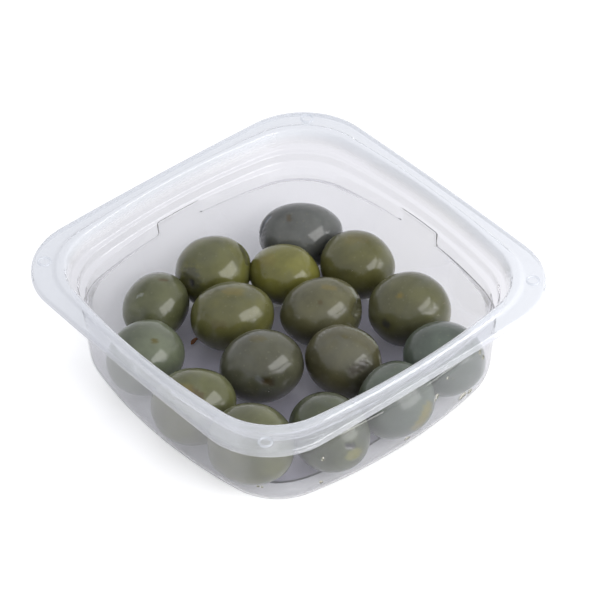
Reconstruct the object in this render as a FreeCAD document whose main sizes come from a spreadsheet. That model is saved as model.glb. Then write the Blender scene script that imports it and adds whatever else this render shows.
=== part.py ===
"""Open square deli tub of clear formed sheet, holding one layer of large green olives.

Millimetres, +Z up. The origin is the middle of the tub's base, on the surface it stands on.
X and Y run square to the tub's four sides.
"""
import FreeCAD, Part
import Sketcher
import math
import os

V = FreeCAD.Vector

doc = FreeCAD.newDocument("DeliTub")
sheet = doc.addObject("Spreadsheet::Sheet", "Sizes")

# Every size that can be set by itself. Insets run inwards from the flange's edge, and drops
# run down from the flange's top, both to the inside face of the sheet.
SIZES = [
    ("rim_half", 63.5, "half the tub's width over the flange"),
    ("rim_height", 42.0, "flange top above the base"),
    ("sheet_wall", 0.5, "thickness of the formed sheet"),
    ("skirt_drop", 2.1, "depth of the turned-down edge"),
    ("skirt_flare", 0.2, "how far the turned-down edge leans out"),
    ("edge_round", 0.5, "round between flange and skirt"),
    ("foot_inset", 4.7, "flange edge to the foot of the raised bead"),
    ("bead_run", 0.9, "width of the bead's outer slope"),
    ("bead_rise", 0.8, "height of the bead above the flange"),
    ("well_inset", 7.75, "flange edge to the edge of the well"),
    ("well_round", 0.5, "round between bead and well"),
    ("seat_inset", 8.9, "flange edge to the lid seat's crease"),
    ("seat_drop", 5.9, "depth of the lid seat"),
    ("ledge_width", 1.2, "width of the lid seat's ledge"),
    ("ledge_fall", 0.15, "fall of that ledge towards the inside"),
    ("step_drop", 3.4, "height of the step under the lid seat"),
    ("step_draft", 0.2, "lean of that step"),
    ("shelf_width", 1.2, "width of the shelf under the step"),
    ("shelf_fall", 0.5, "fall of that shelf towards the inside"),
    ("stack_inset", 12.4, "flange edge to the stacking ring"),
    ("stack_drop", 14.9, "depth of the stacking ring"),
    ("undercut_drop", 1.0, "height of the undercut below the stacking ring"),
    ("wall_inset", 10.9, "flange edge to the body wall under the ring"),
    ("floor_inset", 12.3, "flange edge to the body wall carried down to the base"),
    ("base_round", 10.5, "outside radius between wall and base"),
    ("notch_width", 16.4, "width of the gap in the stacking ring on each side"),
    ("notch_drop", 11.6, "depth of the gap's roof"),
    ("notch_seat", 0.05, "gap's back outside the body wall's furthest point"),
    ("rim_corner", 24.3, "corner radius of the flange"),
    ("foot_corner", 23.8, "corner radius of the bead's foot"),
    ("well_corner", 23.6, "corner radius of the well's edge"),
    ("seat_corner", 23.2, "corner radius of the lid seat"),
    ("step_corner", 24.2, "corner radius of the step"),
    ("shelf_corner", 25.0, "corner radius of the shelf"),
    ("stack_corner", 26.4, "corner radius of the stacking ring"),
    ("wall_corner", 24.0, "corner radius of the body wall"),
    ("rim_bow", 0.42, "how far each flange side bows out"),
    ("foot_bow", 1.4, "how far each side of the bead's foot bows out"),
    ("well_bow", 2.1, "how far each side of the well bows out"),
    ("wall_bow", 2.25, "how far each side of the body wall bows out"),
    ("button_inset", 3.9, "flange corner to the middle of its stacking button"),
    ("button_ring", 1.9, "radius of the button's raised ring"),
    ("button_bead", 0.4, "radius of that ring's section"),
    ("olive_length", 26.0, "usual length of an olive"),
    ("olive_girth", 22.8, "usual thickness of an olive"),
    ("olive_clearance", 0.1, "gap under each olive"),
    ("bed_height", 6.0, "depth of the bed that joins the olives"),
    ("bed_clearance", 0.2, "gap between that bed and the round of the tub's base"),
]
for row, (name, value, words) in enumerate(SIZES, start=1):
    sheet.set(f"A{row}", words)
    sheet.set(f"B{row}", str(value))
    sheet.setAlias(f"B{row}", name)
doc.recompute()


def size(name):
    """A driving size, read from the sheet."""
    return float(sheet.get(name))


# ---------------------------------------------------------------- the tub's sheet

SIDES = 4
ROUND_STEPS = 5


def ring_wire(half, corner, bow, level):
    """A level ring: four bowed sides joined by four corner arcs, anticlockwise."""
    reach = half - corner
    diagonal = corner * math.sqrt(0.5)
    edges = []
    for turn in range(SIDES):
        spin = FreeCAD.Rotation(V(0, 0, 1), 90 * turn)
        side = [V(half, -reach, 0), V(half + bow, 0, 0), V(half, reach, 0)]
        bend = [V(half, reach, 0), V(reach + diagonal, reach + diagonal, 0), V(reach, half, 0)]
        for points in (side, bend):
            places = [spin.multVec(p) + V(0, 0, level) for p in points]
            edges.append(Part.Arc(*places).toShape())
    return Part.Wire(edges)


def inside_profile():
    """The sheet's inside face from the floor out to the skirt's edge.

    Each station is (half, level, corner, bow) of one ring.
    """
    rim = size("rim_half")
    top = size("rim_height")
    wall = size("sheet_wall")
    floor_half = rim - size("floor_inset")
    wall_half = rim - size("wall_inset")
    stack_level = top - size("stack_drop")
    wall_level = stack_level - size("undercut_drop")

    # The fillet between floor and wall, tangent to both.
    lean = math.atan2(wall_half - floor_half, wall_level)
    radius = size("base_round") - wall
    low_half = floor_half + wall * math.tan(lean)
    middle_half = low_half - radius * math.tan((math.pi / 2 - lean) / 2)
    middle_level = wall + radius
    stations = []
    for step in range(ROUND_STEPS + 1):
        angle = -math.pi / 2 + step * (math.pi / 2 - lean) / ROUND_STEPS
        half = middle_half + radius * math.cos(angle)
        level = middle_level + radius * math.sin(angle)
        corner = size("wall_corner") - (low_half + level * math.tan(lean) - half)
        stations.append((half, level, corner, size("wall_bow")))

    ledge_half = rim - size("seat_inset") - size("ledge_width")
    ledge_level = top - size("seat_drop") - size("ledge_fall")
    step_half = ledge_half - size("step_draft")
    step_level = ledge_level - size("step_drop")
    bead_half = rim - size("foot_inset") - size("bead_run")
    well_half = rim - size("well_inset")
    bead_level = top + size("bead_rise")
    edge = size("edge_round")
    bead_bow = (size("foot_bow") + size("well_bow")) / 2
    wall_bow = size("wall_bow")
    well_bow = size("well_bow")
    stations += [
        (wall_half, wall_level, size("wall_corner"), wall_bow),
        (rim - size("stack_inset"), stack_level, size("stack_corner"), wall_bow),
        (step_half - size("shelf_width"), step_level - size("shelf_fall"),
         size("shelf_corner"), wall_bow),
        (step_half, step_level, size("step_corner"), well_bow),
        (ledge_half, ledge_level, size("step_corner"), well_bow),
        (rim - size("seat_inset"), top - size("seat_drop"), size("seat_corner"), well_bow),
        (well_half, bead_level - size("well_round"), size("well_corner"), well_bow),
        (well_half + size("well_round"), bead_level, size("well_corner"), well_bow),
        (bead_half, bead_level, size("foot_corner"), bead_bow),
        (rim - size("foot_inset"), top, size("foot_corner"), size("foot_bow")),
        (rim - edge, top, size("rim_corner") - edge, size("rim_bow")),
        (rim, top - edge, size("rim_corner"), size("rim_bow")),
        (rim + size("skirt_flare"), top - size("skirt_drop"), size("rim_corner"), size("rim_bow")),
    ]
    return stations


def offset_profile(stations, gap):
    """The same rings moved square to the profile by gap, to the outside of the sheet."""
    moved = []
    last = len(stations) - 1
    for index, (half, level, corner, bow) in enumerate(stations):
        before = stations[max(index - 1, 0)]
        after = stations[min(index + 1, last)]
        normals = []
        for start, end in ((before, stations[index]), (stations[index], after)):
            run, rise = end[0] - start[0], end[1] - start[1]
            length = math.hypot(run, rise)
            if length > 0:
                normals.append((rise / length, -run / length))
        if index == 0:
            normals.append((0.0, -1.0))
        across = sum(n[0] for n in normals)
        down = sum(n[1] for n in normals)
        stretch = len(normals) * gap / (across ** 2 + down ** 2)
        moved.append((half + across * stretch, level + down * stretch,
                      corner + across * stretch, bow))
    return moved


def skin_solid(stations):
    """A closed solid with ruled bands between the rings and flat faces on the first and last."""
    wires = [ring_wire(half, corner, bow, level) for half, level, corner, bow in stations]
    faces = [Part.Face(wires[0]), Part.Face(wires[-1])]
    for lower, upper in zip(wires[:-1], wires[1:]):
        for first, second in zip(lower.Edges, upper.Edges):
            faces.append(Part.makeRuledSurface(first, second))
    shell = Part.makeShell(faces)
    shell.sewShape()
    solid = Part.makeSolid(shell)
    if solid.Volume < 0:
        solid.reverse()
    return solid


inside = inside_profile()
outside = offset_profile(inside, size("sheet_wall"))
sheet_form = doc.addObject("Part::Feature", "SheetForm")
sheet_form.Shape = skin_solid(inside + outside[::-1])
well_form = doc.addObject("Part::Feature", "WellForm")
WELL_TOP = 6
well_form.Shape = skin_solid(inside[:ROUND_STEPS + 1 + WELL_TOP])

# ---------------------------------------------------------------- gaps in the stacking ring

# Each side's gap is a small bay: the body wall is carried up past the ring, with the sheet
# carried round the bay. The bays' blocks go on outside the well, and then their room comes out.
BAY_BACK = "(Sizes.rim_half - Sizes.wall_inset + Sizes.wall_bow + Sizes.notch_seat)"
BAY_ROOF = "(Sizes.rim_height - Sizes.notch_drop)"
BAY_FOOT = "(Sizes.rim_height - Sizes.stack_drop - Sizes.undercut_drop)"
BAY_REACH = "(Sizes.stack_inset - Sizes.wall_inset + 5 * Sizes.sheet_wall)"
QUARTERS = [(1, 0), (0, 1), (-1, 0), (0, -1)]


def fuse(name, parts):
    """One form made of the parts."""
    joined = doc.addObject("Part::MultiFuse", name)
    joined.Shapes = parts
    return joined


def cut(name, base, tool):
    """The base with the tool's room taken out."""
    left = doc.addObject("Part::Cut", name)
    left.Base = base
    left.Tool = tool
    return left


def bay_boxes(name, grow):
    """A box in each side's gap, grown by grow sheet thicknesses to the back, sides and roof."""
    skin = f"{grow} * Sizes.sheet_wall"
    start_x = f"({BAY_BACK} - {BAY_REACH})"
    start_y = f"(-Sizes.notch_width / 2 - {skin})"
    boxes = []
    for turn, (cosine, sine) in enumerate(QUARTERS):
        box = doc.addObject("Part::Box", f"{name}{turn}")
        box.setExpression("Length", f"{BAY_REACH} + {skin}")
        box.setExpression("Width", f"Sizes.notch_width + 2 * {skin}")
        box.setExpression("Height", f"{BAY_ROOF} - {BAY_FOOT} + {skin}")
        box.Placement = FreeCAD.Placement(V(0, 0, 0), FreeCAD.Rotation(V(0, 0, 1), 90 * turn))
        box.setExpression("Placement.Base.x", f"{cosine} * {start_x} - {sine} * {start_y}")
        box.setExpression("Placement.Base.y", f"{sine} * {start_x} + {cosine} * {start_y}")
        box.setExpression("Placement.Base.z", BAY_FOOT)
        boxes.append(box)
    return boxes


bay_blocks = fuse("BayBlocks", bay_boxes("BayBlock", 1))
bay_walls = cut("BayWalls", bay_blocks, well_form)
bay_rooms = fuse("BayRooms", bay_boxes("BayRoom", 0))

# ---------------------------------------------------------------- stacking buttons

BUTTON_PLACE = ("((Sizes.rim_half - Sizes.rim_corner) * sqrt(2) + Sizes.rim_corner"
                " - Sizes.button_inset) / sqrt(2)")


def corner_button(turn):
    """The raised ring on the flange at one corner."""
    ring = doc.addObject("Part::Torus", f"Button{turn}")
    ring.setExpression("Radius1", "Sizes.button_ring")
    ring.setExpression("Radius2", "Sizes.button_bead")
    cosine, sine = QUARTERS[turn]
    ring.setExpression("Placement.Base.x", f"{cosine - sine} * {BUTTON_PLACE}")
    ring.setExpression("Placement.Base.y", f"{cosine + sine} * {BUTTON_PLACE}")
    ring.setExpression("Placement.Base.z", "Sizes.rim_height")
    return ring


buttons = [corner_button(turn) for turn in range(SIDES)]
tub_whole = fuse("TubWhole", [sheet_form, bay_walls] + buttons)
tub = cut("Tub", tub_whole, bay_rooms)
tub.Label = "tub"

# ---------------------------------------------------------------- the olives

# Each olive: place along X and Y as a share of the floor's free reach, height above the
# floor, length and thickness as shares of the usual, and the turn of its long axis.
OLIVES = [
    (0.8698, 0.8963, 0.9, 1.06, 0.92, 139),
    (0.0596, 1.0033, 0.6, 0.93, 0.99, 143),
    (0.4647, 0.6095, 1.0, 0.89, 0.88, 126),
    (0.9654, 0.3123, 0.2, 0.96, 0.98, 109),
    (0.9247, -0.3351, 0.2, 1.04, 1.05, 131),
    (-0.5102, 0.9881, 0.8, 0.94, 0.93, 26),
    (-0.1458, 0.4960, 0.3, 1.04, 1.00, 145),
    (0.4325, 0.0700, 0.3, 1.01, 0.99, 148),
    (-0.9115, 0.5698, 0.3, 0.97, 1.01, 11),
    (-0.3587, -0.0369, 0.2, 1.03, 1.02, 152),
    (0.1278, -0.4098, 0.2, 1.00, 1.01, 96),
    (0.7600, -0.8963, 0.2, 0.98, 1.03, 134),
    (-0.9749, -0.0454, 0.1, 1.02, 1.03, 139),
    (-0.9351, -0.6578, 0.4, 1.03, 1.06, 116),
    (-0.4098, -0.9427, 0.2, 1.00, 1.03, 92),
    (0.1742, -0.9985, 0.4, 0.98, 1.02, 9),
]
FREE_REACH = "(Sizes.rim_half - Sizes.floor_inset + Sizes.wall_bow - Sizes.olive_girth / 2)"


def sketch_in(body, name, role):
    """A sketch on one of the body's own planes."""
    plane = next(f for f in body.Origin.OriginFeatures if f.Role == role)
    sketch = body.newObject("Sketcher::SketchObject", name)
    sketch.AttachmentSupport = [(plane, "")]
    sketch.MapMode = "FlatFace"
    return sketch


OVAL_STEPS = 10
END_ANGLE = 11


def olive_body(index, along, across, lift, long_share, thick_share, turn):
    """One olive lying on the tub's floor: a half oval turned about its long, level axis.

    The oval is drawn in short straight runs, with a small flat at each end.
    """
    body = doc.addObject("PartDesign::Body", f"Olive{index:02d}")
    sketch = sketch_in(body, f"OliveOutline{index:02d}", "XZ_Plane")
    half = size("olive_length") / 2 * long_share
    thick = size("olive_girth") / 2 * thick_share
    shares = []
    for step in range(OVAL_STEPS):
        angle = math.radians(END_ANGLE + (180 - 2 * END_ANGLE) * step / (OVAL_STEPS - 1))
        shares.append((-math.cos(angle), -math.sin(angle)))
    shares = [(shares[0][0], 0)] + shares + [(shares[-1][0], 0)]
    points = [V(half * x, thick * y, 0) for x, y in shares]
    count = len(points)
    for step in range(count):
        sketch.addGeometry(Part.LineSegment(points[step], points[(step + 1) % count]), False)
    for step, (x, y) in enumerate(shares):
        follow = (step + 1) % count
        sketch.addConstraint(Sketcher.Constraint("Coincident", step, 2, follow, 1))
        place = sketch.addConstraint(Sketcher.Constraint("DistanceX", -1, 1, step, 1, half * x))
        sketch.setExpression(f"Constraints[{place}]",
                             f"Sizes.olive_length / 2 * {long_share} * {x:.6f}")
        if y:
            place = sketch.addConstraint(Sketcher.Constraint("DistanceY", -1, 1, step, 1,
                                                             thick * y))
            sketch.setExpression(f"Constraints[{place}]",
                                 f"Sizes.olive_girth / 2 * {thick_share} * {y:.6f}")
        else:
            sketch.addConstraint(Sketcher.Constraint("PointOnObject", step, 1, -1))
    flesh = body.newObject("PartDesign::Revolution", f"OliveFlesh{index:02d}")
    flesh.Profile = sketch
    flesh.ReferenceAxis = (sketch, ["H_Axis"])
    flesh.Angle = 360
    body.Placement = FreeCAD.Placement(V(0, 0, 0), FreeCAD.Rotation(V(0, 0, 1), turn))
    body.setExpression("Placement.Base.x", f"{FREE_REACH} * {along}")
    body.setExpression("Placement.Base.y", f"{FREE_REACH} * {across}")
    body.setExpression("Placement.Base.z", f"Sizes.sheet_wall + Sizes.olive_clearance + {lift}"
                                           f" + Sizes.olive_girth / 2 * {thick_share}")
    return body


def bed_body():
    """The bed that the olives lie in: a rounded square slab on the tub's floor."""
    body = doc.addObject("PartDesign::Body", "Bed")
    sketch = sketch_in(body, "BedOutline", "XY_Plane")
    sketch.setExpression("AttachmentOffset.Base.z", "Sizes.sheet_wall")
    half = size("rim_half") - size("floor_inset") - size("base_round") - size("bed_clearance")
    ends = [V(half, -half, 0), V(half, half, 0), V(-half, half, 0), V(-half, -half, 0)]
    for index in range(SIDES):
        sketch.addGeometry(Part.LineSegment(ends[index], ends[(index + 1) % SIDES]), False)
    for index in range(SIDES):
        follow = (index + 1) % SIDES
        sketch.addConstraint(Sketcher.Constraint("Coincident", index, 2, follow, 1))
        sketch.addConstraint(Sketcher.Constraint("Vertical" if index % 2 == 0 else "Horizontal",
                                                 index))
    sketch.addConstraint(Sketcher.Constraint("Symmetric", 0, 1, 1, 2, -1, 1))
    sketch.addConstraint(Sketcher.Constraint("Equal", 0, 1))
    side = sketch.addConstraint(Sketcher.Constraint("DistanceY", 0, 1, 0, 2, 2 * half))
    sketch.setExpression(f"Constraints[{side}]", "2 * (Sizes.rim_half - Sizes.floor_inset"
                                                 " - Sizes.base_round - Sizes.bed_clearance)")
    pad = body.newObject("PartDesign::Pad", "BedPad")
    pad.Profile = sketch
    pad.setExpression("Length", "Sizes.bed_height")
    doc.recompute()
    upright = [f"Edge{i + 1}" for i, edge in enumerate(pad.Shape.Edges)
               if abs(edge.tangentAt(edge.FirstParameter).z) > 0.9]
    fillet = body.newObject("PartDesign::Fillet", "BedCorners")
    fillet.Base = (pad, upright)
    fillet.setExpression("Radius", "Sizes.wall_corner - Sizes.base_round")
    return body


olives = [olive_body(index, *row) for index, row in enumerate(OLIVES, start=1)]
heap = fuse("Heap", [bed_body()] + olives)
heap.Label = "olives"

# ---------------------------------------------------------------- checks and files

doc.recompute()
for item in doc.Objects:
    if "Invalid" in item.State or "Error" in item.State:
        raise RuntimeError(f"{item.Name} is {item.State}")
os.makedirs("parts", exist_ok=True)
for node in (tub, heap):
    shape = node.Shape
    if shape.isNull() or not shape.isValid() or len(shape.Solids) != 1:
        raise RuntimeError(f"{node.Label}: null, not valid, or not one solid")
    print(node.Label, "volume", round(shape.Volume / 1000, 2), "cm3, box", shape.BoundBox)
    shape.exportStep(f"parts/{node.Label}.step")
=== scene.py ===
import math

import bpy
import numpy as np
from mathutils import Matrix, Vector


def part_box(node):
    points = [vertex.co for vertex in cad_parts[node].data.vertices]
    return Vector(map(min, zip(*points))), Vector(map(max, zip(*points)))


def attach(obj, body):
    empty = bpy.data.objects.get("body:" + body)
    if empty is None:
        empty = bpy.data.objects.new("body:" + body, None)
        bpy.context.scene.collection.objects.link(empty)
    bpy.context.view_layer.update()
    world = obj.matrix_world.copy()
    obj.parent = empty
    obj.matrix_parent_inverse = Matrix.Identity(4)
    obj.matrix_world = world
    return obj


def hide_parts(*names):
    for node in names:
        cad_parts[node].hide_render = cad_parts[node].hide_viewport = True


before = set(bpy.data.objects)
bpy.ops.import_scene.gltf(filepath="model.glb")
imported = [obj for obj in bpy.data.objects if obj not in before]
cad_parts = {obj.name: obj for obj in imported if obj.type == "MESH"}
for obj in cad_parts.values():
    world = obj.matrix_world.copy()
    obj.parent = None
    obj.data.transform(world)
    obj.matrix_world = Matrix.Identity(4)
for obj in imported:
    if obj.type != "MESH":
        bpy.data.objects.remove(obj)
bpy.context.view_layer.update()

# ---- The tub ----------------------------------------------------------------------------
# One piece of clear polyester sheet, drawn hot into a square mould and trimmed. Its flange,
# bead, lid seat and stacking ring are all folds of the same half-millimetre sheet.

MM = 0.001
SHEET = 0.5
BEAD_RISE = 0.8
FLANGE_BOW = 0.42
SKIRT_FLARE = 0.2
tub_low, tub_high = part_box("tub")
LIP_OUT = 0.14
RIM_TOP = tub_high[2] / MM - BEAD_RISE
RIM_HALF = tub_high[0] / MM - FLANGE_BOW - SKIRT_FLARE - LIP_OUT
BASE_ROUND = 10.0

# Folds of the sheet's inside face, from the floor to the skirt:
# inset from the flange's edge, drop from its top, corner radius, bow of the side, easing.
FOLDS = [
    (12.3, RIM_TOP - SHEET, 24.0, 2.25, BASE_ROUND),
    (10.9, 15.9, 24.0, 2.25, 0.8),
    (12.4, 14.9, 26.4, 2.25, 0.8),
    (11.5, 9.95, 25.0, 2.25, 0.5),
    (10.3, 9.45, 24.2, 2.1, 0.4),
    (10.1, 6.05, 24.2, 2.1, 0.45),
    (8.9, 5.9, 23.2, 2.1, 0.3),
    (7.7, -BEAD_RISE, 23.6, 2.1, 0.6),
    (5.6, -BEAD_RISE, 23.8, 1.75, 0.6),
    (4.7, 0.0, 23.8, 1.4, 0.6),
    (0.0, 0.0, 24.3, FLANGE_BOW, 0.7),
    (-SKIRT_FLARE, 2.1, 24.3, FLANGE_BOW, 0.0),
]
# The gap in the stacking ring at the middle of each side: its half width, foot, roof and how
# far its back stands out, then how softly its roof and its two ends run into the ring.
BAY_HALF = 8.2
BAY_FOOT = RIM_TOP - 15.95
BAY_ROOF = RIM_TOP - 11.6
BAY_REACH = RIM_HALF - 10.9 + 2.25
ROOF_SLOPE = 1.5
ROOF_STOPS = (0.02, 0.2, 0.4, 0.6, 0.8, 0.98)
END_SLOPE = 1.6


def fold_points():
    """Each fold as (side reach, level, corner reach minus side reach, side curvature)."""
    points = []
    for inset, drop, corner, bow, _ in FOLDS:
        half = RIM_HALF - inset
        side = half + bow
        diagonal = (half - corner) * math.sqrt(2) + corner
        points.append((side, RIM_TOP - drop, diagonal - side, 2 * bow / (half - corner) ** 2))
    first = points[0]
    return [(first[0] - 2 * BASE_ROUND, first[1], first[2], first[3])] + points


def move_square(points, gap):
    """The run of folds moved square to itself, to the outside of the sheet."""
    moved = []
    for index, (reach, level, extra, bend) in enumerate(points):
        normals = []
        for start, end in ((index - 1, index), (index, index + 1)):
            if start >= 0 and end < len(points):
                run = points[end][0] - points[start][0]
                rise = points[end][1] - points[start][1]
                length = math.hypot(run, rise)
                normals.append((rise / length, -run / length))
        across = sum(n[0] for n in normals)
        down = sum(n[1] for n in normals)
        stretch = len(normals) * gap / (across ** 2 + down ** 2)
        moved.append((reach + across * stretch, level + down * stretch, extra, bend))
    return moved


# An arc at a fold takes at most this share of the straights beside it, is at least this
# round (mm), and has a stop at least every so many degrees.
ARC_SHARE = 0.47
LEAST_ROUND = 0.12
ARC_STEP = 9


def ease(points, gap):
    """The run with an arc at each fold. gap is how far it lies outside the inside face."""
    eased = []
    for index in range(1, len(points) - 1):
        here = np.array(points[index])
        back = np.array(points[index - 1]) - here
        on = np.array(points[index + 1]) - here
        back_length = np.hypot(back[0], back[1])
        on_length = np.hypot(on[0], on[1])
        back_way = back[:2] / back_length
        on_way = on[:2] / on_length
        turn = math.pi - math.acos(np.clip(back_way @ on_way, -1, 1))
        left = back_way[1] * on_way[0] - back_way[0] * on_way[1] > 0
        radius = max(FOLDS[index - 1][4] + (gap if left else -gap), LEAST_ROUND)
        cut = min(radius * math.tan(turn / 2), ARC_SHARE * back_length, ARC_SHARE * on_length)
        radius = cut / math.tan(turn / 2)
        start = here[:2] + back_way * cut
        centre_way = (back_way + on_way) / np.linalg.norm(back_way + on_way)
        centre = here[:2] + centre_way * radius / math.cos(turn / 2)
        steps = max(4, math.ceil(math.degrees(turn) / ARC_STEP))
        first = start - centre
        sign = 1 if left else -1
        for step in range(steps + 1):
            angle = sign * turn * step / steps
            spun = np.array((first[0] * math.cos(angle) - first[1] * math.sin(angle),
                             first[0] * math.sin(angle) + first[1] * math.cos(angle)))
            share = step / steps
            other = (here + back * cut / back_length * (1 - share) + on * cut / on_length * share)
            eased.append(np.array((*(centre + spun), other[2], other[3])))
    return [np.array(points[0])] + eased + [np.array(points[-1])]


def divide(points, longest):
    """The same run with its long straights divided."""
    divided = [points[0]]
    for start, end in zip(points[:-1], points[1:]):
        count = max(1, math.ceil(np.hypot(*(end - start)[:2]) / longest))
        divided += [start + (end - start) * step / count for step in range(1, count + 1)]
    return divided


def add_levels(points, levels):
    """The same run with a stop at each level given, between the folds of the stacking ring."""
    out = [points[0]]
    for start, end in zip(points[:-1], points[1:]):
        stops = [(level - start[1]) / (end[1] - start[1]) for level in levels
                 if (level - start[1]) * (level - end[1]) < 0]
        out += [start + (end - start) * stop for stop in sorted(stops)]
        out.append(end)
    return out


# Points of each half side, closest together at the end of its gap, and of each corner.
SIDE_STOPS = (0, 2.6, 5.2, 6.9, 7.4, 7.7, 8.0, 8.3, 8.6, 8.9, 9.3, 10.2)
SIDE_RUN = 9
CORNER_RUN = 22


def smooth_step(value):
    """0 below nothing, 1 above one, and a soft rise between."""
    value = min(max(value, 0.0), 1.0)
    return value * value * (3 - 2 * value)


def ring(reach, level, extra, bend, gap):
    """One level ring: four gently bowed sides and four corner arcs that meet smoothly."""
    diagonal = reach + extra
    side_radius = 1 / bend
    away = side_radius - reach
    corner_radius = ((side_radius ** 2 - away ** 2 - diagonal ** 2
                      - math.sqrt(2) * away * diagonal)
                     / (2 * side_radius - 2 * diagonal - math.sqrt(2) * away))
    middle = (diagonal - corner_radius) / math.sqrt(2)
    meet = math.atan2(middle, middle + away)
    stops = [math.asin(stop / side_radius) for stop in SIDE_STOPS]
    stops += [stops[-1] + (meet - stops[-1]) * step / SIDE_RUN for step in range(1, SIDE_RUN)]
    half_side = []
    for angle in stops:
        x = side_radius * math.cos(angle) - away
        y = side_radius * math.sin(angle)
        x += bay_depth(reach, y, level, gap)
        half_side.append((x, y))
    corner = []
    for step in range(CORNER_RUN + 1):
        angle = meet + (math.pi / 2 - 2 * meet) * step / CORNER_RUN
        corner.append((middle + corner_radius * math.cos(angle),
                       middle + corner_radius * math.sin(angle)))
    quarter = half_side + corner + [(y, x) for x, y in reversed(half_side[1:])]
    points = []
    for turn in range(4):
        cosine, sine = ((1, 0), (0, 1), (-1, 0), (0, -1))[turn]
        points += [(x * cosine - y * sine, x * sine + y * cosine, level) for x, y in quarter]
    return points


def bay_depth(reach, along, level, gap):
    """How far the sheet stands back in the gap at the middle of each side."""
    back = BAY_REACH + gap - reach
    roof = BAY_ROOF + gap
    if back <= 0 or level <= BAY_FOOT - gap or level > roof + ROOF_SLOPE:
        return 0.0
    open_share = smooth_step((BAY_HALF + gap + END_SLOPE / 2 - along) / END_SLOPE)
    tall_share = smooth_step((roof + ROOF_SLOPE - level) / ROOF_SLOPE)
    return back * open_share * tall_share


FLOOR_SHARES = (0.995, 0.9, 0.7, 0.4, 0.12)


def floor_rings(edge):
    """Rings from the edge of the flat floor to its middle."""
    return [[(x * share, y * share, z) for x, y, z in edge] for share in FLOOR_SHARES]


def join_rings(rings, first_middle, last_middle):
    """Vertices and faces of a closed skin through the rings."""
    count = len(rings[0])
    places = [first_middle] + [point for one in rings for point in one] + [last_middle]
    faces = [(0, 1 + (i + 1) % count, 1 + i) for i in range(count)]
    for row in range(len(rings) - 1):
        low = 1 + row * count
        high = low + count
        for i in range(count):
            j = (i + 1) % count
            faces.append((low + i, low + j, high + j, high + i))
    low = 1 + (len(rings) - 1) * count
    last = len(places) - 1
    faces += [(last, low + i, low + (i + 1) % count) for i in range(count)]
    return places, faces


def add_mesh(name, places, faces):
    """A smooth-shaded mesh object from places in millimetres."""
    mesh = bpy.data.meshes.new(name)
    mesh.from_pydata([(x * MM, y * MM, z * MM) for x, y, z in places], [], faces)
    mesh.update()
    mesh.polygons.foreach_set("use_smooth", [True] * len(mesh.polygons))
    piece = bpy.data.objects.new(name, mesh)
    bpy.context.scene.collection.objects.link(piece)
    return piece


inner_folds = fold_points()
outer_folds = move_square(inner_folds, SHEET)
roof_levels = [BAY_ROOF + ROOF_SLOPE * share for share in ROOF_STOPS]
LONGEST = 2.2
inner_run = add_levels(divide(ease(inner_folds, 0), LONGEST), roof_levels)
outer_run = add_levels(divide(ease(outer_folds, SHEET), LONGEST), [z + SHEET for z in roof_levels])
inner_start = inner_run[1]
outer_start = outer_run[1]
skin = floor_rings(ring(*inner_start, 0))[::-1]
skin += [ring(*stop, 0) for stop in inner_run[1:]]
LIP_STEPS = 6
lip_middle = (inner_run[-1] + outer_run[-1]) / 2
lip_arm = inner_run[-1] - lip_middle
for step in range(1, LIP_STEPS):
    angle = -math.pi * step / LIP_STEPS
    spun = lip_middle.copy()
    spun[0] += lip_arm[0] * math.cos(angle) - lip_arm[1] * math.sin(angle)
    spun[1] += lip_arm[0] * math.sin(angle) + lip_arm[1] * math.cos(angle)
    skin.append(ring(*spun, 0))
skin += [ring(*stop, SHEET) for stop in outer_run[:0:-1]]
skin += floor_rings(ring(*outer_start, SHEET))
places, faces = join_rings(skin[::-1], (0, 0, outer_start[1]), (0, 0, inner_start[1]))

# The small moulded ring on each corner of the flange: its place, radius, bead and points.
BUTTON_PLACE = ((RIM_HALF - 24.3) * math.sqrt(2) + 24.3 - 3.9) / math.sqrt(2)
BUTTON_RING = 1.9
BUTTON_BEAD = 0.4
BUTTON_AROUND = 40
BUTTON_OVER = 12
for across in (-1, 1):
    for along in (-1, 1):
        start = len(places)
        for i in range(BUTTON_AROUND):
            next_i = (i + 1) % BUTTON_AROUND
            for j in range(BUTTON_OVER):
                next_j = (j + 1) % BUTTON_OVER
                around = 2 * math.pi * i / BUTTON_AROUND
                over = 2 * math.pi * j / BUTTON_OVER
                arm = BUTTON_RING + BUTTON_BEAD * math.cos(over)
                places.append((across * BUTTON_PLACE + arm * math.cos(around),
                               along * BUTTON_PLACE + arm * math.sin(around),
                               RIM_TOP - 0.05 + BUTTON_BEAD * math.sin(over)))
                corners = ((i, j), (next_i, j), (next_i, next_j), (i, next_j))
                faces.append(tuple(start + a * BUTTON_OVER + b for a, b in corners))
tub = add_mesh("clear_tub", places, faces)


def node(tree, kind, **settings):
    """A node with its plain settings and socket values."""
    made = tree.nodes.new(kind)
    for name, value in settings.items():
        if name in made.inputs:
            made.inputs[name].default_value = value
        else:
            setattr(made, name, value)
    return made


def remap(tree, source, span, result, **settings):
    """Takes one span of an output to another, and gives the new output."""
    made = node(tree, "ShaderNodeMapRange", **settings)
    names = ("From Min", "From Max", "To Min", "To Max")
    for name, value in zip(names, (*span, *result)):
        made.inputs[name].default_value = value
    tree.links.new(source, made.inputs["Value"])
    return made.outputs["Result"]


def new_finish(name):
    """An empty material, its node tree, and the place of each point in it."""
    material = bpy.data.materials.new(name)
    material.use_nodes = True
    tree = material.node_tree
    tree.nodes.clear()
    return material, tree, node(tree, "ShaderNodeTexCoord").outputs["Object"]


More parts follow.
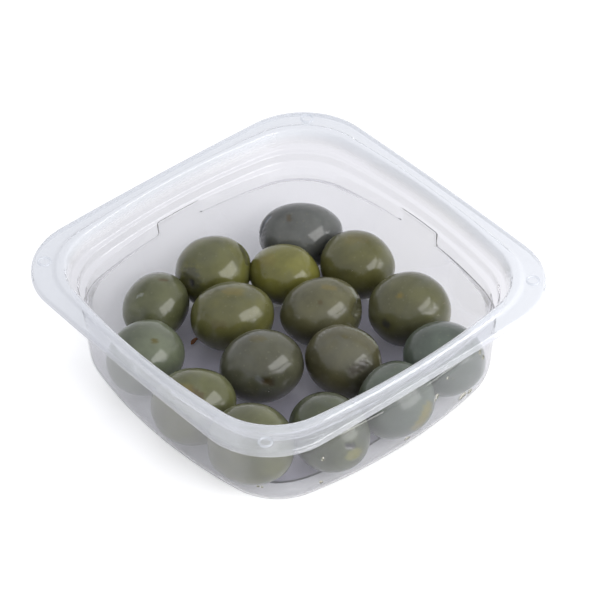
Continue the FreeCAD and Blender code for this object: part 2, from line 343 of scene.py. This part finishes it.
def let_light_pass(tree, surface, tint):
    """Ends a clear finish: its surface, and a plain tint for lamplight on its way through."""
    straight = node(tree, "ShaderNodeBsdfTransparent", Color=tint)
    ray = node(tree, "ShaderNodeLightPath")
    either = node(tree, "ShaderNodeMath", operation="MAXIMUM")
    mix = node(tree, "ShaderNodeMixShader")
    out = node(tree, "ShaderNodeOutputMaterial")
    link = tree.links.new
    link(ray.outputs["Is Shadow Ray"], either.inputs[0])
    link(ray.outputs["Is Diffuse Ray"], either.inputs[1])
    link(either.outputs[0], mix.inputs[0])
    link(surface.outputs[0], mix.inputs[1])
    link(straight.outputs[0], mix.inputs[2])
    link(mix.outputs[0], out.inputs["Surface"])


# Levels over which the sheet turns frosty and bluer towards its flange, and the sheet's two
# tints, wall then flange.
FROST_LEVELS = ((RIM_TOP - 5.0) * MM, (RIM_TOP - 2.5) * MM)
TINT_LEVELS = ((RIM_TOP - 3.5) * MM, (RIM_TOP - 0.8) * MM)
WALL_TINT = (0.915, 0.912, 0.935)
FLANGE_TINT = (0.86, 0.88, 0.915)
FROST = 0.2
# The walls on the left half of the tub as seen are made a little hazy, a painted sheen that stands
# in for a brighter reflection there: how far across the haze begins and ends, and how clear the
# sheet is before and after.
SHEEN_HAZE_PLACES = (0.006, 0.014)
CLEARNESS = (0.985, 0.93)


def sheet_finish():
    """Clear drawn sheet: faintly rippled, hazier on one side as a painted sheen, and frosty
    towards its flange.
    """
    material, tree, place = new_finish("clear_sheet")
    link = tree.links.new
    ripple = node(tree, "ShaderNodeTexNoise", Scale=70.0, Detail=2.0)
    bump = node(tree, "ShaderNodeBump", Strength=0.035, Distance=0.0006)
    split = node(tree, "ShaderNodeSeparateXYZ")
    across = node(tree, "ShaderNodeMath", operation="SUBTRACT")
    clear = node(tree, "ShaderNodeMath", operation="SUBTRACT")
    tint = node(tree, "ShaderNodeMapRange", data_type="FLOAT_VECTOR")
    tint_spans = ([TINT_LEVELS[0]] * 3, [TINT_LEVELS[1]] * 3, WALL_TINT, FLANGE_TINT)
    for number, value in enumerate(tint_spans):
        tint.inputs[7 + number].default_value = value
    plastic = node(tree, "ShaderNodeBsdfPrincipled", IOR=1.07)
    plastic.inputs["Coat Weight"].default_value = 1.0
    plastic.inputs["Coat Roughness"].default_value = 0.03
    plastic.inputs["Coat IOR"].default_value = 1.4
    link(place, ripple.inputs["Vector"])
    link(ripple.outputs["Fac"], bump.inputs["Height"])
    link(bump.outputs["Normal"], plastic.inputs["Normal"])
    polish = remap(tree, ripple.outputs["Fac"], (0, 1), (0.015, 0.07))
    link(polish, plastic.inputs["Roughness"])
    link(place, split.inputs[0])
    link(split.outputs["Y"], across.inputs[0])
    link(split.outputs["X"], across.inputs[1])
    # Less clear, milkier sheet on the left half: painted sheen.
    sheen_haze = remap(tree, across.outputs[0], SHEEN_HAZE_PLACES, CLEARNESS, interpolation_type="SMOOTHSTEP")
    frost = remap(tree, split.outputs["Z"], FROST_LEVELS, (0, FROST),
                  interpolation_type="SMOOTHSTEP")
    link(sheen_haze, clear.inputs[0])
    link(frost, clear.inputs[1])
    link(clear.outputs[0], plastic.inputs["Transmission Weight"])
    link(split.outputs["Z"], tint.inputs[6])
    link(tint.outputs[1], plastic.inputs["Base Color"])
    let_light_pass(tree, plastic, (0.97, 0.975, 0.98, 1))
    return material


tub.data.materials.append(sheet_finish())
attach(tub, "root")
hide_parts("tub")

# ---- The olives -------------------------------------------------------------------------
# Sixteen large green olives with their stones in, wet from the brine. They lie one deep on
# the floor, each a little different in length, girth, tilt and colour.

# Middle along X and Y and lift over the floor, half length, half girth (mm), height as a share
# of the girth, turn (degrees), and the skin's colour.
OLIVES = [
    # The first olive's grey-blue tone is lighter and bluer than its darker green body: partly
    # painted sheen.
    (36.2, 37.75, 0.9, 14.2, 10.6, 0.985, 139, (0.094, 0.098, 0.092)),
    (3.2, 41.6, 0.6, 12.5, 11.7, 0.985, 143, (0.098, 0.098, 0.026)),
    (19.9, 26.2, 1.0, 11.6, 10.1, 0.985, 306, (0.145, 0.140, 0.030)),
    (40.8, 14.4, 0.2, 12.4, 11.1, 0.985, 289, (0.098, 0.095, 0.032)),
    (38.2, -13.9, 0.2, 13.6, 12.0, 0.985, 311, (0.086, 0.085, 0.036)),
    (-20.2, 42.1, 0.8, 12.0, 10.4, 0.985, 206, (0.092, 0.098, 0.046)),
    (-5.8, 21.1, 0.3, 13.5, 11.4, 0.985, 145, (0.100, 0.098, 0.030)),
    (17.4, 4.0, 0.3, 13.2, 11.3, 0.985, 148, (0.092, 0.088, 0.042)),
    (-37.7, 24.9, 0.3, 12.6, 11.5, 0.985, 191, (0.112, 0.128, 0.084)),
    (-14.0, -2.6, 0.2, 13.3, 11.6, 0.985, 152, (0.070, 0.070, 0.044)),
    (7.1, -17.4, 0.2, 12.9, 11.5, 0.985, 276, (0.086, 0.080, 0.040)),
    (31.1, -38.5, 0.2, 13.0, 11.9, 1.01, 314, (0.078, 0.096, 0.078)),
    (-41.4, -3.1, 0.1, 13.5, 12.0, 1.03, 139, (0.098, 0.102, 0.042)),
    (-39.35, -27.85, 0.4, 13.8, 12.4, 1.03, 296, (0.108, 0.112, 0.054)),
    (-17.7, -40.1, 0.2, 13.0, 11.8, 1.03, 272, (0.066, 0.076, 0.042)),
    (6.8, -42.35, 0.4, 13.0, 11.6, 1.03, 189, (0.072, 0.090, 0.066)),
]
SILVER = (0.24, 0.26, 0.30)
# Pale grey: painted highlights along raised ridges and at the bright right edge of an olive, and
# painted glints under brine beads.
PAINTED_HIGHLIGHT = (0.30, 0.32, 0.29)
BROWN = (0.070, 0.045, 0.010)
BRUISE = (0.030, 0.028, 0.036)
SCAB = (0.040, 0.026, 0.008)
CORK = (0.075, 0.060, 0.006)
AMBER = (0.150, 0.115, 0.020)
OCHRE = (0.135, 0.120, 0.018)
STRAW = (0.26, 0.24, 0.07)
# The skins' marks, the pale ones painted highlights and glints: which olive, the mark's two ends
# from the olive's middle (mm), how far it reaches, how deep it dents (below nothing it stands
# proud), its colour and its strength.
MARKS = [
    (0, (-7.1, 6.7, 7.6), (-12.3, 6.4, -0.4), 0.75, 0.55, SILVER, 0.8),
    (0, (-12.0, 7.5, 4.0), (-13.0, 7.0, 1.0), 3.2, 0.25, BRUISE, 0.45),
    (0, (-4.0, 0.3, 9.9), (-4.7, -0.6, 9.6), 0.85, 0.1, BROWN, 0.6),
    (1, (9.1, -3.2, 7.3), (7.8, -8.2, 4.9), 1.3, 0.4, BRUISE, 0.35),
    (1, (-10.7, -1.4, 5.2), (-11.2, -2.4, 3.6), 3.4, 0.2, BRUISE, 0.5),
    (1, (-11.3, -2.6, 3.0), (-11.2, -2.4, 3.6), 0.9, 0.5, BRUISE, 0.9),
    (2, (-6.6, 3.0, 7.6), (-5.0, 1.0, 8.6), 2.4, 0.0, AMBER, 0.35),
    (3, (-1.0, 1.5, 10.8), (1.5, -1.0, 10.8), 2.6, 0.0, AMBER, 0.3),
    (4, (-5.9, -1.6, 10.3), (-5.4, -1.9, 10.4), 0.9, 0.05, AMBER, 0.8),
    (4, (-12.1, -1.8, 2.3), (-12.0, -2.2, 2.1), 1.5, 0.2, BRUISE, 0.75),
    (5, (1.8, -0.5, 10.1), (3.6, -1.4, 9.6), 0.75, 0.05, BROWN, 0.8),
    (5, (-7.1, 0.1, 8.1), (-6.0, -0.6, 8.8), 0.55, 0.0, PAINTED_HIGHLIGHT, 0.6),
    (6, (-0.9, 0.7, 11.2), (1.3, -1.7, 11.1), 1.9, 0.0, AMBER, 0.5),
    (6, (-9.8, -3.9, 5.2), (-8.6, -5.4, 5.5), 1.6, 0.0, BROWN, 0.3),
    (7, (0.2, -0.4, 11.1), (2.6, -2.5, 10.7), 1.1, 0.0, AMBER, 0.5),
    (7, (-4.5, -3.9, 9.5), (-4.5, -3.9, 9.4), 0.7, 0.05, BROWN, 0.6),
    (7, (8.9, -8.1, 3.4), (6.2, -10.4, 3.6), 2.1, 1.5, PAINTED_HIGHLIGHT, 0.1),
    (7, (8.8, -3.9, 7.6), (8.3, -6.8, 6.4), 1.0, -0.25, PAINTED_HIGHLIGHT, 0.4),
    (8, (-0.2, -4.9, 10.3), (0.1, -5.0, 10.2), 1.05, 0.1, CORK, 0.85),
    (9, (-0.6, 2.4, 11.2), (1.0, 0.1, 11.4), 1.6, 0.0, CORK, 0.6),
    (9, (-6.1, -9.2, 3.7), (-4.3, -10.4, 3.0), 1.35, 0.3, SCAB, 0.85),
    (9, (-6.8, -8.3, 4.2), (-7.2, -7.6, 4.8), 1.0, 0.0, SILVER, 0.25),
    (10, (-4.5, -10.1, 5.4), (-0.5, -10.7, 6.3), 1.6, 0.25, SCAB, 0.75),
    (10, (-0.5, -0.8, 11.3), (-0.3, -1.6, 11.3), 0.7, 0.0, CORK, 0.6),
    (10, (3.4, 2.2, 10.7), (6.5, -2.6, 9.1), 0.6, -0.3, PAINTED_HIGHLIGHT, 0.35),
    (10, (6.5, -2.6, 9.1), (8.2, -7.7, 4.4), 0.65, -0.4, PAINTED_HIGHLIGHT, 0.45),
    (12, (-3.3, -3.7, 11.2), (-1.8, -6.6, 10.2), 1.3, 0.1, BROWN, 0.75),
    (12, (-5.5, -1.0, 11.0), (-3.5, -3.0, 11.2), 1.6, 0.0, AMBER, 0.5),
    (14, (-2.2, -12.7, 1.1), (-0.1, -13.0, 0.8), 2.1, 0.0, STRAW, 0.45),
    (14, (-2.8, -11.7, 4.5), (-1.3, -12.2, 4.0), 0.95, 0.35, BRUISE, 0.8),
    (15, (-0.8, -11.4, -2.8), (3.4, -11.0, 1.8), 2.5, 0.2, OCHRE, 0.95),
]
AROUND = 100
ALONG = 60
FLOOR = SHEET
# Lumps in each skin: how many, how high as a share of the olive, and how close together.
LUMPS = ((5, 0.011, 1.8), (4, 0.0028, 4.5))
TAPER = 0.03
DIMPLE_DEEP = 0.025
DIMPLE_WIDE = 0.22


def olive_skin(index, row):
    """One olive: an oval with soft lumps, a stem dimple and its own marks. Places and colours."""
    x, y, lift, half, thick, tall, turn, tone = row
    rng = np.random.default_rng(100 + index)
    latitude = math.pi * np.arange(ALONG + 1)[:, None] / ALONG
    around = 2 * math.pi * np.arange(AROUND) / AROUND
    along = -np.cos(latitude) * np.ones(AROUND)
    girth = np.sin(latitude)
    ways = np.stack([along, girth * np.cos(around), girth * np.sin(around)], axis=-1)
    lumps = 1.0 + 0 * along
    for count, high, close in LUMPS:
        for _ in range(count):
            lumps += high * np.cos(ways @ rng.normal(0, close, 3) + rng.uniform(0, 2 * math.pi))
    dimple = DIMPLE_DEEP * np.exp(-((latitude / DIMPLE_WIDE) ** 2))
    lumps += rng.uniform(-TAPER, TAPER) * along - dimple
    spin = math.radians(turn)
    out = ways * np.array((half, thick, thick * tall)) * lumps[..., None]
    out = np.stack([out[..., 0] * math.cos(spin) - out[..., 1] * math.sin(spin),
                    out[..., 0] * math.sin(spin) + out[..., 1] * math.cos(spin),
                    out[..., 2]], axis=-1)
    far = np.linalg.norm(out, axis=-1, keepdims=True)
    colour = np.ones_like(out) * np.array(tone)
    dent = np.zeros_like(along)
    for number, start, end, reach, depth, hue, strength in MARKS:
        if number != index:
            continue
        start, end = np.array(start), np.array(end)
        line = end - start
        flat = out / far * np.linalg.norm((start + end) / 2)
        share = np.clip((flat - start) @ line / (line @ line), 0, 1)
        away = np.linalg.norm(flat - start - share[..., None] * line, axis=-1)
        ragged = reach * (1 + 0.16 * np.sin(flat @ (2.6, 1.7, 2.1))
                          + 0.1 * np.sin(flat @ (4, -5, 3)))
        near = np.clip(1.9 - 1.5 * away / ragged, 0, 1)
        near = near * near * (3 - 2 * near)
        colour += (np.array(hue) - colour) * (near * strength)[..., None]
        dent += depth * near
    out -= out / far * dent[..., None]
    out += np.array((x, y, FLOOR + 0.02 + lift - out[..., 2].min()))
    return out, colour


places = []
faces = []
tones = []
skins = []
for index, row in enumerate(OLIVES):
    skin, colour = olive_skin(index, row)
    start = len(places)
    more, more_faces = join_rings(skin[1:-1].tolist(), skin[0, 0].tolist(), skin[-1, 0].tolist())
    places += more
    faces += [tuple(start + corner for corner in face) for face in more_faces]
    skins.append(skin)
    tones += [colour[0, 0], *colour[1:-1].reshape(-1, 3), colour[-1, 0]]
olives = add_mesh("green_olives", places, faces)
tone = olives.data.color_attributes.new("tone", "FLOAT_COLOR", "POINT")
tone.data.foreach_set("color", [v for c in tones for v in (*c, 1.0)])


def olive_finish():
    """Olive skin: mottled, with grey patches of bloom and painted sheen, and fine flecks, wet with
    brine.
    """
    material, tree, place = new_finish("olive_skin")
    link = tree.links.new
    base = node(tree, "ShaderNodeAttribute", attribute_name="tone")
    mottle = node(tree, "ShaderNodeTexNoise", Scale=140.0, Detail=4.0)
    scaled = node(tree, "ShaderNodeVectorMath", operation="SCALE")
    # Bluish-grey patches: partly the skin's bloom, partly painted sheen.
    bloom_and_sheen = node(tree, "ShaderNodeTexNoise", Scale=75.0, Detail=2.0, Distortion=0.6)
    bloom_and_sheen_mix = node(tree, "ShaderNodeMix", data_type="RGBA", B=(0.105, 0.115, 0.12, 1))
    fleck = node(tree, "ShaderNodeTexVoronoi", Scale=520.0, Randomness=1.0)
    flecked = node(tree, "ShaderNodeMix", data_type="RGBA", B=(0.20, 0.20, 0.12, 1))
    grain = node(tree, "ShaderNodeTexNoise", Scale=420.0, Detail=3.0)
    bump = node(tree, "ShaderNodeBump", Strength=0.10, Distance=0.0005)
    skin = node(tree, "ShaderNodeBsdfPrincipled", IOR=1.4)
    skin.inputs["Specular IOR Level"].default_value = 0.2
    skin.inputs["Coat Weight"].default_value = 1.0
    skin.inputs["Coat Roughness"].default_value = 0.1
    skin.inputs["Coat IOR"].default_value = 1.42
    out = node(tree, "ShaderNodeOutputMaterial")
    for texture in (mottle, bloom_and_sheen, fleck, grain):
        link(place, texture.inputs["Vector"])
    link(base.outputs["Color"], scaled.inputs[0])
    link(remap(tree, mottle.outputs["Fac"], (0.32, 0.68), (0.80, 1.20)), scaled.inputs["Scale"])
    link(remap(tree, bloom_and_sheen.outputs["Fac"], (0.48, 0.72), (0, 0.26)), bloom_and_sheen_mix.inputs["Factor"])
    link(scaled.outputs[0], bloom_and_sheen_mix.inputs["A"])
    link(remap(tree, fleck.outputs["Distance"], (0.10, 0.22), (0.16, 0)), flecked.inputs["Factor"])
    link(bloom_and_sheen_mix.outputs["Result"], flecked.inputs["A"])
    link(flecked.outputs["Result"], skin.inputs["Base Color"])
    link(grain.outputs["Fac"], bump.inputs["Height"])
    link(bump.outputs["Normal"], skin.inputs["Normal"])
    link(remap(tree, grain.outputs["Fac"], (0, 1), (0.26, 0.46)), skin.inputs["Roughness"])
    link(skin.outputs[0], out.inputs["Surface"])
    return material


olives.data.materials.append(olive_finish())
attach(olives, "root")
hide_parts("olives")

# ---- The brine --------------------------------------------------------------------------
# What is left of the brine: a thin film on the floor between the olives, tinted grey-violet as
# painted shade among them, drops that cling to the inside of two walls, and beads on the skins.
# The film and drops reach just into the sheet or skin they lie on.

# The film's outline (mm) and depth, and its sides: share of the outline and height. The outline
# takes in the floor among the olives, where the film lays its painted shade.
SHADE_FILM_EDGE = [(-40, -3), (-41, -22), (-36, -36), (-20, -42), (6, -42), (27, -38), (35, -26),
             (38, -12), (40, 10), (36, 32), (26, 30), (19, 25), (10, 30), (3, 42), (-9, 44),
             (-20, 43), (-31, 34), (-40, 22)]
FILM_DEEP = 0.4
FILM_SIDES = ((0.5, -0.12), (0.98, -0.12), (1.0, -0.05), (0.98, 0.02), (0.95, 0.12),
              (0.91, 0.26), (0.87, 0.36), (0.82, FILM_DEEP), (0.5, FILM_DEEP))
# Drops on the wall: place (mm), the way the wall faces, width, height and thickness.
DROPS = [
    ((-47.5, -41.5, 10.9), (0.79, 0.62), 1.1, 0.6, 0.40),
    ((-46.7, -42.4, 10.7), (0.79, 0.62), 0.8, 0.6, 0.35),
    ((-30.7, -52.1, 19.2), (0.06, 1.0), 0.9, 1.7, 0.40),
    ((-19.0, -53.1, 13.1), (0.09, 1.0), 0.8, 1.2, 0.40),
    ((-18.1, -53.1, 14.0), (0.09, 1.0), 0.5, 0.7, 0.30),
    ((18.2, -53.7, 23.2), (-0.10, 1.0), 0.9, 1.2, 0.40),
    ((13.6, -53.9, 18.6), (-0.07, 1.0), 1.5, 2.0, 0.45),
    ((12.9, -53.9, 17.4), (-0.07, 1.0), 0.8, 0.7, 0.35),
    ((26.0, -52.0, 9.6), (-0.14, 1.0), 3.5, 2.0, 0.45),
    ((29.6, -51.4, 8.9), (-0.20, 1.0), 2.0, 1.5, 0.45),
    ((35.2, -51.2, 19.7), (-0.30, 1.0), 0.9, 1.8, 0.40),
    ((33.1, -52.0, 23.6), (-0.18, 1.0), 0.9, 2.2, 0.35),
    ((1.7, -53.6, 8.2), (0.0, 1.0), 2.4, 0.7, 0.40),
    ((-31.0, -51.3, 9.1), (0.18, 1.0), 1.4, 1.0, 0.40),
    ((10.8, -53.9, 14.5), (-0.05, 1.0), 0.6, 0.8, 0.35),
    ((20.6, -53.5, 21.2), (-0.10, 1.0), 0.5, 0.6, 0.30),
]
# Beads on the skins: which olive, the way from its middle, and the bead's radius (mm).
BEADS = [
    (3, (-7.5, -6.1, 5.6), 0.5), (6, (7.1, -8.2, 6.5), 0.45), (6, (4.3, 1.0, 10.5), 0.35),
    (4, (5.1, -10.0, 6.5), 0.5), (4, (1.4, -11.8, 4.9), 0.6), (9, (-5.2, -10.3, 1.0), 0.4),
    (7, (6.1, -7.0, 7.8), 0.5), (0, (-1.7, -11.2, -0.2), 0.5), (10, (-11.0, 2.0, -2.9), 0.4),
    (5, (-5.8, -0.3, 8.9), 0.4), (9, (0.6, -10.8, 4.9), 0.35), (1, (6.7, -8.5, 5.8), 0.4),
    (9, (-5.6, -9.8, 0.2), 0.3), (0, (-0.9, -11.0, 0.8), 0.3), (5, (-6.4, 0.5, 8.6), 0.3),
]


DROP_RINGS = 10
DROP_AROUND = 20
DROP_SAG = 0.35


def drop_skin(middle, facing, wide, tall, thick, seed):
    """A clinging drop, fuller towards its foot, lying on a face that looks along facing."""
    rng = np.random.default_rng(seed)
    spins = rng.uniform(0, 2 * math.pi, 2)
    facing = np.array(facing) / np.linalg.norm(facing)
    side = np.cross((0, 0, 1), facing)
    level = np.linalg.norm(side)
    side = side / level if level > 0.05 else np.array((1.0, 0, 0))
    climb = np.cross(facing, side)
    rings = []
    for step in range(DROP_RINGS + 1):
        lean = math.pi * step / DROP_RINGS
        one = []
        for i in range(DROP_AROUND):
            angle = 2 * math.pi * i / DROP_AROUND
            spread = (1 + 0.12 * math.sin(2 * angle + spins[0])
                      + 0.08 * math.sin(3 * angle + spins[1]))
            a = math.sin(lean) * math.cos(angle) * wide / 2 * spread
            b = math.sin(lean) * math.sin(angle) * tall / 2 * spread
            a *= 1 - DROP_SAG * b / tall
            one.append((np.array(middle) + side * a + climb * b
                        - facing * math.cos(lean) * thick).tolist())
        rings.append(one)
    return join_rings(rings[1:-1], rings[0][0], rings[-1][0])


def smooth_loop(corners, steps):
    """A smooth closed line through the corners."""
    line = []
    count = len(corners)
    for index in range(count):
        a, b, c, d = (np.array(corners[(index + k) % count], float) for k in (-1, 0, 1, 2))
        for step in range(steps):
            s = step / steps
            line.append(0.5 * (2 * b + (c - a) * s + (2 * a - 5 * b + 4 * c - d) * s ** 2
                               + (3 * b - a - 3 * c + d) * s ** 3))
    return line


def brine_finish(name, tint, shade, ripple, slickness):
    """Clear brine with a little oil in it, never quite even."""
    material, tree, place = new_finish(name)
    link = tree.links.new
    swirl = node(tree, "ShaderNodeTexNoise", Scale=160.0, Detail=3.0, Distortion=1.2)
    bump = node(tree, "ShaderNodeBump", Strength=ripple, Distance=0.0004)
    liquid = node(tree, "ShaderNodeBsdfPrincipled", IOR=1.34)
    liquid.inputs["Base Color"].default_value = tint
    liquid.inputs["Transmission Weight"].default_value = 1.0
    link(place, swirl.inputs["Vector"])
    slick = remap(tree, swirl.outputs["Fac"], (0, 1), (slickness * 0.6, slickness * 1.4))
    link(slick, liquid.inputs["Roughness"])
    link(swirl.outputs["Fac"], bump.inputs["Height"])
    link(bump.outputs["Normal"], liquid.inputs["Normal"])
    let_light_pass(tree, liquid, shade)
    return material


edge = smooth_loop(SHADE_FILM_EDGE, 8)
film_middle = np.mean(edge, axis=0)
film_rings = []
for share, height in FILM_SIDES:
    film_rings.append([(*(film_middle + (spot - film_middle) * share), FLOOR + height)
                       for spot in edge])
places, faces = join_rings(film_rings, (*film_middle, FLOOR + FILM_SIDES[0][1]),
                           (*film_middle, FLOOR + FILM_DEEP))
brine_and_shade_film = add_mesh("brine_film_painted_shade", places, faces)
# The film's grey-violet tint, and the tint it gives light passing through, are painted shade that
# darkens the floor between the olives.
brine_and_shade_film.data.materials.append(brine_finish(
    "brine_pool_painted_shade", tint=(0.82, 0.81, 0.86, 1), shade=(0.80, 0.79, 0.84, 1),
    ripple=0.02, slickness=0.35))
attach(brine_and_shade_film, "root")

places = []
faces = []
WALL_LEAN = 0.06
BEAD_THICK = 0.6
clinging = [(middle, (*way, WALL_LEAN), wide, tall, thick)
            for middle, way, wide, tall, thick in DROPS]
for index, way, radius in BEADS:
    middle = np.mean(skins[index].reshape(-1, 3), axis=0)
    arms = skins[index] - middle
    aim = np.array(way) / np.linalg.norm(way)
    best = np.argmax((arms @ aim) / np.linalg.norm(arms, axis=-1))
    clinging.append((skins[index].reshape(-1, 3)[best], way, 2 * radius, 2 * radius,
                     BEAD_THICK * radius))
for number, row in enumerate(clinging):
    more, more_faces = drop_skin(*row, 40 + number)
    start = len(places)
    places += more
    faces += [tuple(start + corner for corner in face) for face in more_faces]
drops = add_mesh("brine_drops", places, faces)
drops.data.materials.append(brine_finish(
    "brine_bead", tint=(0.94, 0.92, 0.76, 1), shade=(0.98, 0.98, 0.95, 1),
    ripple=0.1, slickness=0.04))
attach(drops, "root")

# ---- The fleck of pepper ----------------------------------------------------------------
# One small torn fleck of orange pepper skin, lying in the film between three olives.

FLECK_PLACE = (-14.8, 30.2)
FLECK_HALF = (1.5, 0.8)
FLECK_FOOT = 0.42
FLECK_TOP = 1.08
FLECK_CURL = 0.25
FLECK_AROUND = 18
# The fleck's sides: share of its outline and height over the floor.
FLECK_SIDES = ((0.5, FLECK_FOOT), (0.9, FLECK_FOOT), (1.0, 0.55), (1.0, 0.8), (0.85, 0.98),
               (0.4, 1.05))
rng = np.random.default_rng(7)
fleck_angles = [i * 2 * math.pi / FLECK_AROUND for i in range(FLECK_AROUND)]
fleck_edge = [1 + 0.22 * math.sin(2 * a + 0.4) + 0.16 * math.sin(3 * a + 2) + 0.06 * rng.normal()
              for a in fleck_angles]
fleck_rings = []
for share, height in FLECK_SIDES:
    fleck_rings.append([
        (FLECK_PLACE[0] + FLECK_HALF[0] * share * reach * math.cos(a),
         FLECK_PLACE[1] + FLECK_HALF[1] * share * reach * math.sin(a),
         FLOOR + height + FLECK_CURL * share * math.cos(a))
        for a, reach in zip(fleck_angles, fleck_edge)])
places, faces = join_rings(fleck_rings, (*FLECK_PLACE, FLOOR + FLECK_FOOT),
                           (*FLECK_PLACE, FLOOR + FLECK_TOP))
fleck = add_mesh("pepper_fleck", places, faces)


def pepper_finish():
    """Torn pepper skin: orange, darker along its veins."""
    material, tree, place = new_finish("pepper_skin")
    link = tree.links.new
    vein = node(tree, "ShaderNodeTexNoise", Scale=900.0, Detail=3.0)
    ramp = node(tree, "ShaderNodeMix", data_type="RGBA", A=(0.16, 0.055, 0.016, 1),
                B=(0.40, 0.17, 0.06, 1))
    skin = node(tree, "ShaderNodeBsdfPrincipled", Roughness=0.35)
    out = node(tree, "ShaderNodeOutputMaterial")
    link(place, vein.inputs["Vector"])
    link(vein.outputs["Fac"], ramp.inputs["Factor"])
    link(ramp.outputs["Result"], skin.inputs["Base Color"])
    link(skin.outputs[0], out.inputs["Surface"])
    return material


fleck.data.materials.append(pepper_finish())
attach(fleck, "root")

# ---- Table, light and camera ------------------------------------------------------------
# A plain white sweep under soft light: one large soft lamp high on the right, and pale
# surroundings on every side.


# The floor card: its reach (m), points, drop under the tub, and its own glow to the eye and to
# what is seen in or through the sheet.
CARD_REACH = 3.0
CARD_POINTS = 64
CARD_DROP = 0.0002
GLOW_SEEN = 0.42
GLOW_THROUGH = 0.1


def white_floor():
    """Matt white card that keeps the tub's soft shadow and fades into the surroundings."""
    mesh = bpy.data.meshes.new("sweep")
    rim = [(CARD_REACH * math.cos(2 * math.pi * i / CARD_POINTS),
            CARD_REACH * math.sin(2 * math.pi * i / CARD_POINTS), -CARD_DROP)
           for i in range(CARD_POINTS)]
    mesh.from_pydata(rim, [], [tuple(range(CARD_POINTS))])
    floor = bpy.data.objects.new("sweep", mesh)
    bpy.context.scene.collection.objects.link(floor)
    material, tree, _ = new_finish("white_card")
    link = tree.links.new
    card = node(tree, "ShaderNodeBsdfDiffuse", Color=(0.86, 0.86, 0.87, 1))
    glow = node(tree, "ShaderNodeEmission")
    ray = node(tree, "ShaderNodeLightPath")
    through = node(tree, "ShaderNodeMath", operation="MAXIMUM")
    eye_glow = node(tree, "ShaderNodeMath", operation="MULTIPLY")
    eye_glow.inputs[1].default_value = GLOW_SEEN
    through_glow = node(tree, "ShaderNodeMath", operation="MULTIPLY")
    through_glow.inputs[1].default_value = GLOW_THROUGH
    total = node(tree, "ShaderNodeMath", operation="ADD")
    both = node(tree, "ShaderNodeAddShader")
    out = node(tree, "ShaderNodeOutputMaterial")
    link(ray.outputs["Is Camera Ray"], eye_glow.inputs[0])
    link(ray.outputs["Is Glossy Ray"], through.inputs[0])
    link(ray.outputs["Is Transmission Ray"], through.inputs[1])
    link(through.outputs[0], through_glow.inputs[0])
    link(eye_glow.outputs[0], total.inputs[0])
    link(through_glow.outputs[0], total.inputs[1])
    link(total.outputs[0], glow.inputs["Strength"])
    link(card.outputs[0], both.inputs[0])
    link(glow.outputs[0], both.inputs[1])
    link(both.outputs[0], out.inputs["Surface"])
    mesh.materials.append(material)


def pale_surroundings():
    """A plain pale room: white to the eye and in reflections, softer as a lamp."""
    world = bpy.data.worlds.new("room")
    bpy.context.scene.world = world
    world.use_nodes = True
    tree = world.node_tree
    tree.nodes.clear()
    link = tree.links.new
    ray = node(tree, "ShaderNodeLightPath")
    direct = node(tree, "ShaderNodeMath", operation="MAXIMUM")
    seen = node(tree, "ShaderNodeMath", operation="MAXIMUM")
    lamp = node(tree, "ShaderNodeBackground", Color=(0.95, 0.955, 1.0, 1), Strength=0.72)
    shown = node(tree, "ShaderNodeBackground", Color=(1, 1, 1, 1), Strength=1.0)
    mix = node(tree, "ShaderNodeMixShader")
    out = node(tree, "ShaderNodeOutputWorld")
    link(ray.outputs["Is Camera Ray"], direct.inputs[0])
    link(ray.outputs["Is Glossy Ray"], direct.inputs[1])
    link(direct.outputs[0], seen.inputs[0])
    link(ray.outputs["Is Transmission Ray"], seen.inputs[1])
    link(seen.outputs[0], mix.inputs[0])
    link(lamp.outputs[0], mix.inputs[1])
    link(shown.outputs[0], mix.inputs[2])
    link(mix.outputs[0], out.inputs["Surface"])


LAMP_AIM = 0.02
LAMP_AWAY = 0.75


def soft_lamp(name, place, size, power, colour):
    """A square soft lamp aimed at the tub."""
    light = bpy.data.lights.new(name, "AREA")
    light.shape = "RECTANGLE"
    light.size, light.size_y = size
    light.energy = power
    light.color = colour
    lamp = bpy.data.objects.new(name, light)
    lamp.location = place
    aim = Vector((0, 0, LAMP_AIM)) - Vector(place)
    lamp.rotation_euler = aim.to_track_quat("-Z", "Y").to_euler()
    bpy.context.scene.collection.objects.link(lamp)


# The camera's turn, dip and tilt (degrees), and its place (mm) to the right of, above and back
# from the middle of the tub's top, as it looks.
CAMERA_TURNS = (39.33, 41.67, 1.50)
CAMERA_PLACE = (3.857, -8.975, 986.32)


def place_camera():
    """The camera looks down on the near corner from about 42 degrees."""
    yaw, rise, roll = (math.radians(a) for a in CAMERA_TURNS)
    turn = Matrix.Rotation(yaw, 3, "Z").transposed()
    level = Vector((1, 0, 0))
    up = Vector((0, math.sin(rise), math.cos(rise)))
    right = turn @ (level * math.cos(roll) - up * math.sin(roll))
    above = turn @ (level * math.sin(roll) + up * math.cos(roll))
    back = turn @ Vector((0, -math.cos(rise), math.sin(rise)))
    shift = [way * far for way, far in zip((right, above, back), CAMERA_PLACE)]
    spot = (Vector((0, 0, RIM_TOP)) + shift[0] + shift[1] + shift[2]) * MM
    camera = bpy.data.cameras.new("camera")
    camera.sensor_width = 36
    camera.lens = 192
    camera.clip_start = 0.05
    view = bpy.data.objects.new("camera", camera)
    axes = Matrix((right, above, back)).transposed()
    view.matrix_world = Matrix.Translation(spot) @ axes.to_4x4()
    bpy.context.scene.collection.objects.link(view)
    bpy.context.scene.camera = view
    return right, above, back


white_floor()
pale_surroundings()
right, above, back = place_camera()
key = (right * 0.75 + back * 0.62 + Vector((0, 0, 0.12))).normalized() * LAMP_AWAY
soft_lamp("key", tuple(key), size=(0.72, 0.5), power=4.6, colour=(1.0, 0.99, 0.97))
bpy.context.scene.view_settings.view_transform = "Standard"
